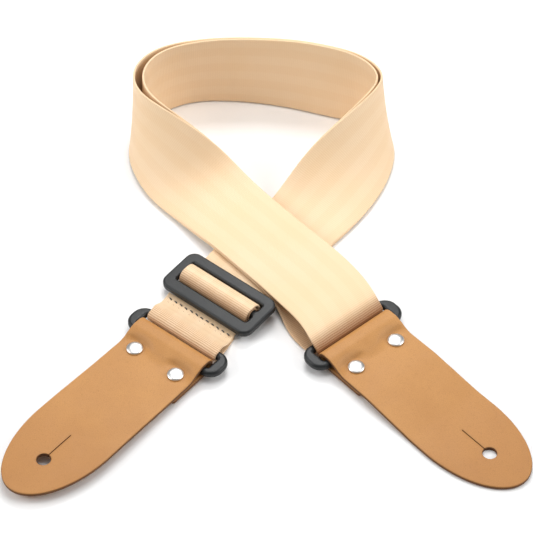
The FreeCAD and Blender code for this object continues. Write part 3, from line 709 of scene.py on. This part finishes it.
crest = SLIDER_LIFT + LOOP_RADIUS
loop_line = [(ROLL_END, FLOOR_MID), (1.5, FLOOR_MID), (-LOOP_RADIUS, SLIDER_LIFT - LOOP_DIP),
             (-LOOP_RADIUS, crest), (LOOP_RADIUS, crest), (LOOP_RADIUS, near_low), (TAIL_END, near_low)]
loop = slider_run(loop_line, [2.0, 1.2, LOOP_RADIUS, LOOP_RADIUS, 1.0])


def split_run(run):
    """A run cut in two where it first passes the seam, sharing the point there."""
    middle = (run[0] + run[1]) / 2
    index = int(np.argmax(past_slider(middle) > SEAM_PLACE))
    return (run[0][:index + 1], run[1][:index + 1]), (run[0][index:], run[1][index:])


def run_length(run):
    return float(steps_of((run[0] + run[1]) / 2).sum())


main_start, main_rest = split_run(main_run)
inner_start, inner_rest = split_run(inner_run)

# Painted shade on each piece: the near side of the roll over the slider, the roll at the right ring, the loop
# under the slider, the return strip in the crossing leg's shadow, and the sewn end near the leather fold
slider_run_main = softened(joined(roll, main_start), 1.2)
slider_webbing, slider_length = webbing("slider_webbing", slider_run_main, fine=[(0, 40)], ribs=0.16,
                                        painted_shade_spans=[(17, 7, 0.62)])
rest_length = run_length(main_rest)
strap_webbing, strap_length = webbing("strap_webbing", main_rest, slider_length,
                                      fine=[(rest_length - 62, rest_length - 2)], ribs=0.16,
                                      painted_shade_spans=[(rest_length - 20, rest_length - 9, 0.82)])
reversed_start = (inner_start[0][::-1], inner_start[1][::-1])
loop_run = softened(joined(reversed_start, loop), 0.8)
slider_loop, loop_length = webbing("slider_loop", loop_run, painted_shade_spans=[(0, 1, 0.5)])
inner_length = run_length(inner_rest)
return_webbing, return_length = webbing("return_webbing", inner_rest, 3.7,
                                        painted_shade_spans=[(inner_length - 80, inner_length - 45, 0.38)])
sewn_end, sewn_length = webbing("sewn_end", run_through(tab_stations()), 7.3, fine=[(0, 60)], ribs=0.14,
                                painted_shade_spans=[(15, 24, 0.22)])

for piece in (slider_webbing, strap_webbing, slider_loop, return_webbing, sewn_end):
    dress(piece, WEBBING)

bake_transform(slider_webbing)
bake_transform(slider_loop)
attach(strap_webbing, "strap")
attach(return_webbing, "strap")
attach(sewn_end, "strap")
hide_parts("slider_roll_webbing")
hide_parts("slider_loop_webbing", "slider_loop_tail")
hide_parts("strap_leg_one", "strap_right_turn", "strap_back_band", "strap_left_turn",
            "strap_leg_two", "strap_ring_wrap")
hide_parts("return_leg_one", "return_right_turn", "return_back_band", "return_left_turn",
            "return_leg_two")
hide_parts("sewn_end_webbing")

# ------------------------ stitching

def tube(points, radius, sides=8):
    """Vertices, faces and uv of a round thread along points, with closed ends."""
    points = np.array(points, float)
    along = unit(np.gradient(points, axis=0))
    helper = np.array((0.0, 0.0, 1.0))
    vertices, faces, uv = [], [], []
    run = 0.0
    for i, (point, axis) in enumerate(zip(points, along)):
        side = np.cross(axis, helper)
        side = unit(side) if np.linalg.norm(side) > 1e-3 else np.array((1.0, 0, 0))
        up = np.cross(side, axis)
        size = radius * (0.35 if i in (0, len(points) - 1) else 1.0)
        if i:
            run += float(np.linalg.norm(point - points[i - 1]))
        for k in range(sides):
            angle = 2 * math.pi * k / sides
            vertices.append(point + (side * math.cos(angle) + up * math.sin(angle)) * size)
            uv.append((run, angle))
    for i in range(len(points) - 1):
        for k in range(sides):
            j = (k + 1) % sides
            faces.append((i * sides + k, i * sides + j, (i + 1) * sides + j, (i + 1) * sides + k))
    faces.append(tuple(range(sides))[::-1])
    faces.append(tuple((len(points) - 1) * sides + k for k in range(sides)))
    return vertices, faces, uv


def merged(name, parts):
    vertices, faces, uv = [], [], []
    for v, f, u in parts:
        base = len(vertices)
        vertices += list(v)
        faces += [tuple(i + base for i in face) for face in f]
        uv += list(u)
    return make_object(name, vertices, faces, uv)


STITCH_COUNT = 12
STITCH_PITCH = 3.9
ROW_PLACE = 17.4  # ring bar to the dark row of stitches
BACK_ROW_PLACE = 14.6


def stitches(name, middle_at, across, along, length, radius, height, seed, extra=()):
    """A row of stitches across the webbing, each one dipping into it at both ends."""
    draw = random.Random(seed)
    parts = []
    for index in range(STITCH_COUNT):
        offset = (index - (STITCH_COUNT - 1) / 2) * STITCH_PITCH
        middle = middle_at(offset) + along * draw.uniform(-0.18, 0.18)
        half = length / 2 * draw.uniform(0.88, 1.1)
        slant = along * draw.uniform(0.15, 0.45)
        arch = []
        for k in range(9):
            t = -1 + 2 * k / 8
            rise = height + radius * (0.9 - 1.7 * abs(t) ** 3.5)
            arch.append(middle + across * half * t + slant * t + np.array((0, 0, rise)))
        parts.append(tube(arch, radius))
    return merged(name, parts + list(extra))


tab_along = direction(ENDS["left"]["heading"])
tab_across = direction(ENDS["left"]["heading"] + 90)


def tab_middle(back):
    def place(offset):
        low, high = bar_station("left", back, 0, STRAP_SHIFT + TAB_SKEW * back - offset)
        return (low + high) / 2
    return place


def loose_ends(middle_at, across, along, top, seed):
    """Fine yarns that stick out of the cut webbing at the end of the stitches."""
    draw = random.Random(seed)
    parts = []
    for offset in (21.6, 22.6, 23.4):
        lean = along * draw.uniform(0.9, 1.9) + across * draw.uniform(-0.4, 0.7)
        rise = draw.uniform(0.25, 0.4)
        start = middle_at(offset) + np.array((0, 0, top))
        yarn = [start + lean * t ** 1.5 + np.array((0, 0, rise * math.sin(t * 2.2)))
                for t in np.linspace(0, 1, 8)]
        parts.append(tube(yarn, 0.09, 6))
    return parts


def tail_middle(offset):
    return slider_point(TAIL_END - 3, STRAP_IN_SLIDER + offset)


tab_top = FLOOR_MID + LAYER_STEP + THICK / 2
sewn_stitches = stitches("sewn_end_stitches", tab_middle(ROW_PLACE), tab_across, tab_along, 2.3, 0.34,
                         tab_top + 0.1, 11)
dress(sewn_stitches, DARK_THREAD)
yarns = loose_ends(tab_middle(ROW_PLACE), tab_across, tab_along, tab_top, 5)
second_row = stitches("sewn_end_back_row", tab_middle(BACK_ROW_PLACE), tab_across, tab_along, 1.9, 0.22,
                      tab_top + 0.12, 12, yarns)
dress(second_row, PALE_THREAD)
tail_stitches = stitches("slider_loop_stitches", tail_middle, direction(SLIDER_HEADING - 90),
                         direction(SLIDER_HEADING), 2.4, 0.25, near_low + THICK / 2, 13)
dress(tail_stitches, DARK_THREAD)
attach(sewn_stitches, "strap")
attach(second_row, "strap")
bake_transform(tail_stitches)
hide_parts("sewn_end_stitching")
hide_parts("slider_loop_stitching")

# ------------------------ leather ends

LENGTH, HALF, FOLD_HALF, TIP_ROUND = 114.0, 26.0, 25.3, 48.0
TAIL_REACH, FOLD_REACH = 14.0, 20.0
HOLE, HOLE_REACH, SLIT, SLIT_HALF = 3.9, 88.7, 21.0, 0.16
SHOULDER, FLAP_START, FLAP_FLAT, TIP_LEVEL = -10.4, -5.6, 6.0, 54.0
SHOULDER_BEND, FLAP_BEND, TIP_BEND = 2.2, 40.0, 60.0
CORNER = 1.5  # of the tail's cut edge
EDGE_ROUND, HOLE_ROUND = 0.75, 0.25
EDGE_DEPTHS = (0.0, 0.12, 0.3, 0.55, EDGE_ROUND, 1.3)
HOLE_DEPTHS = (0.0, 0.1, HOLE_ROUND)
GRID = 1.15  # between the points inside the flat mesh
WALL_ROWS = (0.33, 0.67)  # through the leather, from its outer to its inner side


def leather_line(tip_mid):
    """Dense (u, z) centreline of a leather end from the tail's cut edge to the tip."""
    fold_mid = -(FOLD_REACH - LEATHER / 2)
    top = BAR_HEIGHT + FOLD_RADIUS
    points = [(TAIL_REACH, TAIL_MID), (fold_mid, TAIL_MID), (fold_mid, top), (SHOULDER, top),
              (FLAP_START, FLAP_MID), (TAIL_REACH + FLAP_FLAT, FLAP_MID), (TIP_LEVEL, tip_mid),
              (LENGTH, tip_mid)]
    bends = [FOLD_RADIUS, FOLD_RADIUS, SHOULDER_BEND, SHOULDER_BEND, FLAP_BEND, TIP_BEND]
    return rounded_line(points, bends, 0.25)


def half_width(u):
    start = LENGTH - TIP_ROUND
    if u <= start:
        near = -FOLD_REACH - 1
        return FOLD_HALF + (HALF - FOLD_HALF) * (u - near) / (start - near)
    return HALF * math.sqrt(max(0.0, 1 - ((u - start) / TIP_ROUND) ** 2))


def leather_outline(line, lengths):
    """Closed outline of the flat leather in (length, across), evenly spaced."""
    start = LENGTH - TIP_ROUND
    one_side = []
    flap = lengths[int(np.argmin(np.abs(line[:, 0] - start) + (lengths < 60) * 999))]
    for s in np.arange(0.0, flap, 0.9):
        one_side.append((s, half_width(float(np.interp(s, lengths, line[:, 0])))))
    for k in range(0, 61):
        angle = math.pi / 2 * k / 60
        one_side.append((flap + (lengths[-1] - flap) * math.sin(angle), HALF * math.cos(angle)))
    corner = [(CORNER - CORNER * math.cos(a), one_side[0][1] - CORNER + CORNER * math.sin(a))
              for a in np.linspace(0, math.pi / 2, 5)]
    one_side = corner[:-1] + [p for p in one_side if p[0] >= CORNER]
    other = [(s, -v) for s, v in one_side[::-1]][1:]
    base = one_side[0][1]
    closing = [(0.0, v) for v in np.linspace(-base, base, int(2 * base / 0.9))[1:-1]]
    loop_points = np.array(one_side + other + closing)
    closed = np.vstack((loop_points, loop_points[:1]))
    at = lengths_along(closed)
    even = np.linspace(0, at[-1], int(at[-1] / 0.8) + 1)[:-1]
    return np.stack([np.interp(even, at, closed[:, k]) for k in range(2)], 1)


def keyhole_outline(hole_at):
    """Closed outline of the button hole with its slit towards the rivets."""
    gap = math.asin(SLIT_HALF / HOLE)
    circle = [(hole_at - HOLE * math.cos(a), HOLE * math.sin(a))
              for a in np.linspace(gap, 2 * math.pi - gap, 49)]
    end = hole_at - SLIT
    lower = [(s, -SLIT_HALF) for s in np.linspace(hole_at - HOLE - 0.5, end + 0.3, 26)]
    tip = [(end + 0.3 - SLIT_HALF * math.sin(a), -SLIT_HALF * math.cos(a)) for a in (0.6, 1.57, 2.5)]
    upper = [(s, -v) for s, v in lower[::-1]]
    return np.array(circle + lower + tip + upper)


def offset_loop(points, distance):
    """A closed loop moved to its left by distance."""
    tangent = unit(np.roll(points, -1, 0) - np.roll(points, 1, 0))
    return points + np.stack((-tangent[:, 1], tangent[:, 0]), 1) * distance


def area_of(points):
    x, y = points[:, 0], points[:, 1]
    return 0.5 * float(np.sum(x * np.roll(y, -1) - y * np.roll(x, -1)))


def inside(points, loop_points):
    """Which points lie inside a closed loop."""
    x, y = points[:, 0][:, None], points[:, 1][:, None]
    a, b = loop_points, np.roll(loop_points, -1, 0)
    crosses = (a[:, 1] > y) != (b[:, 1] > y)
    rise = np.where(b[:, 1] == a[:, 1], 1e-9, b[:, 1] - a[:, 1])
    at = a[:, 0] + (y - a[:, 1]) / rise * (b[:, 0] - a[:, 0])
    return (crosses & (x < at)).sum(1) % 2 == 1


def nearest(points, loop_points):
    return np.sqrt(((points[:, None] - loop_points[None]) ** 2).sum(2)).min(1)


def flat_mesh(outline, hole, length):
    """Flat leather: its points, how far each side dips there, triangles, and each cut edge's points."""
    points, dips, edges, walls = [], [], [], []
    rims = [(outline, depth, EDGE_ROUND) for depth in EDGE_DEPTHS]
    rims += [(hole, depth, HOLE_ROUND) for depth in HOLE_DEPTHS]
    for rim, depth, rounding in rims:
        base, count = len(points), len(rim)
        points += offset_loop(rim, depth).tolist()
        dips += [rounding - math.sqrt(max(0.0, rounding ** 2 - max(0.0, rounding - depth) ** 2))] * count
        edges += [(base + k, base + (k + 1) % count) for k in range(count)]
        if depth == 0.0:
            walls.append(range(base, base + count))
    s_values = np.arange(2.0, length - 1.5, GRID)
    v_values = np.arange(-HALF, HALF + 0.1, GRID)
    grid = np.array([(s + (GRID / 2 if row % 2 else 0), v)
                     for row, v in enumerate(v_values) for s in s_values])
    grid = grid[inside(grid, outline)]
    grid = grid[nearest(grid, outline) > 1.9]
    grid = grid[(nearest(grid, hole) > 0.8) & ~inside(grid, hole)]
    points += grid.tolist()
    dips += [0.0] * len(grid)
    result = delaunay_2d_cdt([Vector(p) for p in points], edges, [], 0, 1e-5)
    places = np.array([tuple(p) for p in result[0]])
    dips = np.array(dips)[[origins[0] for origins in result[3]]]
    centres = np.array([places[list(f)].mean(0) for f in result[2]])
    wanted = inside(centres, outline) & ~inside(centres, hole)
    faces = []
    for f in [tuple(f) for f, keep in zip(result[2], wanted) if keep]:
        a, b, c = places[f[0]], places[f[1]], places[f[2]]
        turn = (b[0] - a[0]) * (c[1] - a[1]) - (b[1] - a[1]) * (c[0] - a[0])
        faces.append(f if turn > 0 else f[::-1])
    index_of = {origin: new for new, origins in enumerate(result[3]) for origin in origins}
    return places, dips, faces, [[index_of[i] for i in wall] for wall in walls]


def leather_sides(end, places, dips, line, lengths, flap):
    """Outer and inner side of the folded leather, over the points of its flat mesh."""
    s, v = places[:, 0], places[:, 1]
    u = np.interp(s, lengths, line[:, 0])
    z = np.interp(s, lengths, line[:, 1])
    slope = unit(np.gradient(line, lengths, axis=0))
    kernel = np.ones(9) / 9
    slope = np.stack([np.convolve(np.pad(slope[:, k], 4, mode="edge"), kernel, "valid") for k in range(2)], 1)
    slope = unit(slope)
    # The tail's line runs towards the ring, so its normal points down, to the grain side
    normal_u = -np.interp(s, lengths, slope[:, 1])
    normal_z = np.interp(s, lengths, slope[:, 0])
    # Soft dishing round the rivets and a slow wave along the flap's edges
    on_flap = s > float(np.interp(-11.0, line[flap, 0], lengths[flap]))
    dish = np.zeros(len(s))
    for sign in (-1, 1):
        reach = np.hypot(u, v - sign * RIVET_SIDE)
        dish -= 0.2 * np.exp(-(reach / 7.0) ** 2) * on_flap
    dish = dish + 0.10 * np.sin(u / 17.0 + v / 23.0) * np.clip((u - 20) / 30, 0, 1) * on_flap
    # Away from the rivets the leather comes down from the fold in one easy slope
    fall = np.clip((2.0 - u) / 14.5, 0, 1)
    easy = FLAP_MID + (BAR_HEIGHT + FOLD_RADIUS - FLAP_MID) * fall ** 2 * (3 - 2 * fall)
    free = np.clip((np.hypot(u, np.abs(v) - RIVET_SIDE) - 4.9) / 7.0, 0, 1)
    free = free ** 2 * (3 - 2 * free)
    after_fold = (s > float(np.interp(-12.5, line[flap, 0], lengths[flap]))) & (u < 2.0)
    z = z + np.where(after_fold, np.maximum(0, easy - z), 0) * free
    along = direction(end["heading"])
    across = direction(end["heading"] + 90)
    rivet_line = np.array((*end["rivets"], 0.0))

    def world(offset):
        return (rivet_line + along * (u + normal_u * offset)[:, None] + across * v[:, None]
                + np.array((0, 0, 1.0)) * (z + normal_z * offset)[:, None])

    return world(LEATHER / 2 - dips + dish), world(-LEATHER / 2 + dips + dish * 0.5)


def cut_walls(walls, outer, inner, places):
    """Cut edges between the two sides: further vertices, their uv, and the faces."""
    count = len(places)
    vertices, uv, faces = [], [], []
    for ids in walls:
        base = 2 * count + len(vertices)
        size = len(ids)
        for row in WALL_ROWS:
            vertices += [outer[i] * (1 - row) + inner[i] * row for i in ids]
            uv += [(places[i][0] + row, places[i][1]) for i in ids]
        levels = [ids] + [[base + r * size + k for k in range(size)] for r in range(len(WALL_ROWS))]
        levels.append([i + count for i in ids])
        for upper, lower in zip(levels, levels[1:]):
            for k in range(size):
                j = (k + 1) % size
                faces.append((upper[k], lower[k], lower[j], upper[j]))
    return vertices, uv, faces


def leather_piece(side):
    """One leather end: folded round the ring bar, with softened cut edges and a keyhole."""
    end = ENDS[side]
    line = leather_line(end["tip"])
    lengths = lengths_along(line)
    flap = np.arange(len(line)) > int(np.argmin(line[:, 0]))
    outline = leather_outline(line, lengths)
    if area_of(outline) < 0:
        outline = outline[::-1]
    hole = keyhole_outline(float(np.interp(HOLE_REACH, line[flap, 0], lengths[flap])))
    if area_of(hole) > 0:
        hole = hole[::-1]
    places, dips, faces, walls = flat_mesh(outline, hole, lengths[-1])
    outer, inner = leather_sides(end, places, dips, line, lengths, flap)
    wall_vertices, wall_uv, wall_faces = cut_walls(walls, outer, inner, places)
    count = len(places)
    all_faces = faces + [tuple(i + count for i in f[::-1]) for f in faces] + wall_faces
    edge_near = np.minimum(nearest(places, outline), nearest(places, hole))
    raw = np.concatenate((np.clip(1 - edge_near / 0.28, 0, 1), np.clip(1 - edge_near / 0.5, 0, 1),
                          np.ones(len(wall_vertices))))
    piece = make_object(f"{side}_leather", np.concatenate((outer, inner, np.array(wall_vertices))), all_faces,
                        np.concatenate((places, places, np.array(wall_uv))), {"raw_edge": raw})
    dress(piece, LEATHER_LOOK)
    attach(piece, f"{side}_end")
    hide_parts(f"{side}_leather_end")


# ------------------------ rivets

# Half outline of a cap and its post: (radius, height above the cap's rim)
CAP_PROFILE = [
    (0.0, 2.00), (0.8, 1.99), (1.6, 1.95), (2.4, 1.87), (3.1, 1.76), (3.7, 1.60), (4.1, 1.44),
    (4.38, 1.27), (4.57, 1.08), (4.68, 0.86), (4.70, 0.62), (4.68, 0.40), (4.60, 0.20), (4.46, 0.06),
    (4.30, 0.0), (3.6, -0.02), (1.6, -0.02), (1.55, -0.6), (1.5, -1.4), (0.0, -1.4),
]


def turned(profile, centre, sides=64):
    """Closed lathe-turned solid about a vertical axis: vertices, faces and uv."""
    vertices, faces, uv = [], [], []
    rings = []
    for radius, height in profile:
        if radius < 1e-6:
            rings.append([len(vertices)])
            vertices.append(centre + np.array((0, 0, height)))
            uv.append((0.0, height))
            continue
        ring = []
        for k in range(sides):
            angle = 2 * math.pi * k / sides
            ring.append(len(vertices))
            vertices.append(centre + np.array((radius * math.cos(angle), radius * math.sin(angle), height)))
            uv.append((radius, angle))
        rings.append(ring)
    for upper, lower in zip(rings, rings[1:]):
        for k in range(sides):
            j = (k + 1) % sides
            if len(upper) == 1:
                faces.append((upper[0], lower[k], lower[j]))
            elif len(lower) == 1:
                faces.append((upper[k], lower[0], upper[j]))
            else:
                faces.append((upper[k], lower[k], lower[j], upper[j]))
    return vertices, faces, uv


CAP_SUNK = 0.12  # how far a cap is pressed into the leather


def rivet_heads(side):
    end = ENDS[side]
    across = direction(end["heading"] + 90)
    seat = FLAP_MID + LEATHER / 2 - CAP_SUNK
    parts = []
    for sign in (-1, 1):
        centre = np.array((*end["rivets"], seat)) + across * sign * RIVET_SIDE
        parts.append(turned(CAP_PROFILE, centre))
    piece = merged(f"{side}_rivet_heads", parts)
    dress(piece, METAL)
    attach(piece, f"{side}_end")
    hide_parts(f"{side}_rivet_caps")


for side in ENDS:
    leather_piece(side)
    rivet_heads(side)
    dress(frame["nodes"][f"{side}_rivet_bases"], METAL)
    dress(frame["nodes"][f"{side}_ring"], PLASTIC)
dress(frame["nodes"]["slider_frame"], PLASTIC)

# ------------------------ floor, light and camera

FLOOR_HALF = 3.0
floor_corners = np.array([(-1, -1, 0), (1, -1, 0), (1, 1, 0), (-1, 1, 0)])
floor = make_object("studio_floor", floor_corners * FLOOR_HALF / MM, [(0, 1, 2, 3)])
dress(floor, floor_material())


def soft_light(name, place, target, size, watts):
    data = bpy.data.lights.new(name, "AREA")
    data.shape = "RECTANGLE"
    data.size, data.size_y = size
    data.energy = watts
    lamp = bpy.data.objects.new(name, data)
    bpy.context.scene.collection.objects.link(lamp)
    lamp.location = place
    lamp.rotation_euler = (Vector(target) - Vector(place)).to_track_quat("-Z", "Y").to_euler()


soft_light("key_overhead", (0.0, 0.06, 0.75), (0, 0.02, 0), (0.5, 0.35), 2.1)
soft_light("key_back", (0.0, 0.46, 0.67), (0, -0.02, 0), (0.3, 0.18), 2.6)
soft_light("fill_left", (-0.95, -0.1, 0.6), (0, 0, 0.02), (0.8, 0.6), 6.6)
soft_light("fill_right", (0.95, -0.1, 0.6), (0, 0, 0.02), (0.8, 0.6), 6.6)

world = bpy.data.worlds.new("studio")
bpy.context.scene.world = world
world.use_nodes = True
world.node_tree.nodes["Background"].inputs["Color"].default_value = (1, 1, 1, 1)
world.node_tree.nodes["Background"].inputs["Strength"].default_value = 0.22
bpy.context.scene.view_settings.view_transform = "Standard"

CAMERA_PLACE = (-0.0006, -0.7903, 0.8422)
CAMERA_TARGET = (-0.0006, 0.0117, 0.0)
CAMERA_LENS = 135.1

camera_data = bpy.data.cameras.new("camera")
camera_data.lens = CAMERA_LENS
camera_data.sensor_width = 36.0
camera = bpy.data.objects.new("camera", camera_data)
bpy.context.scene.collection.objects.link(camera)
camera.location = CAMERA_PLACE
camera.rotation_euler = (Vector(CAMERA_TARGET) - camera.location).to_track_quat("-Z", "Y").to_euler()
bpy.context.scene.camera = camera
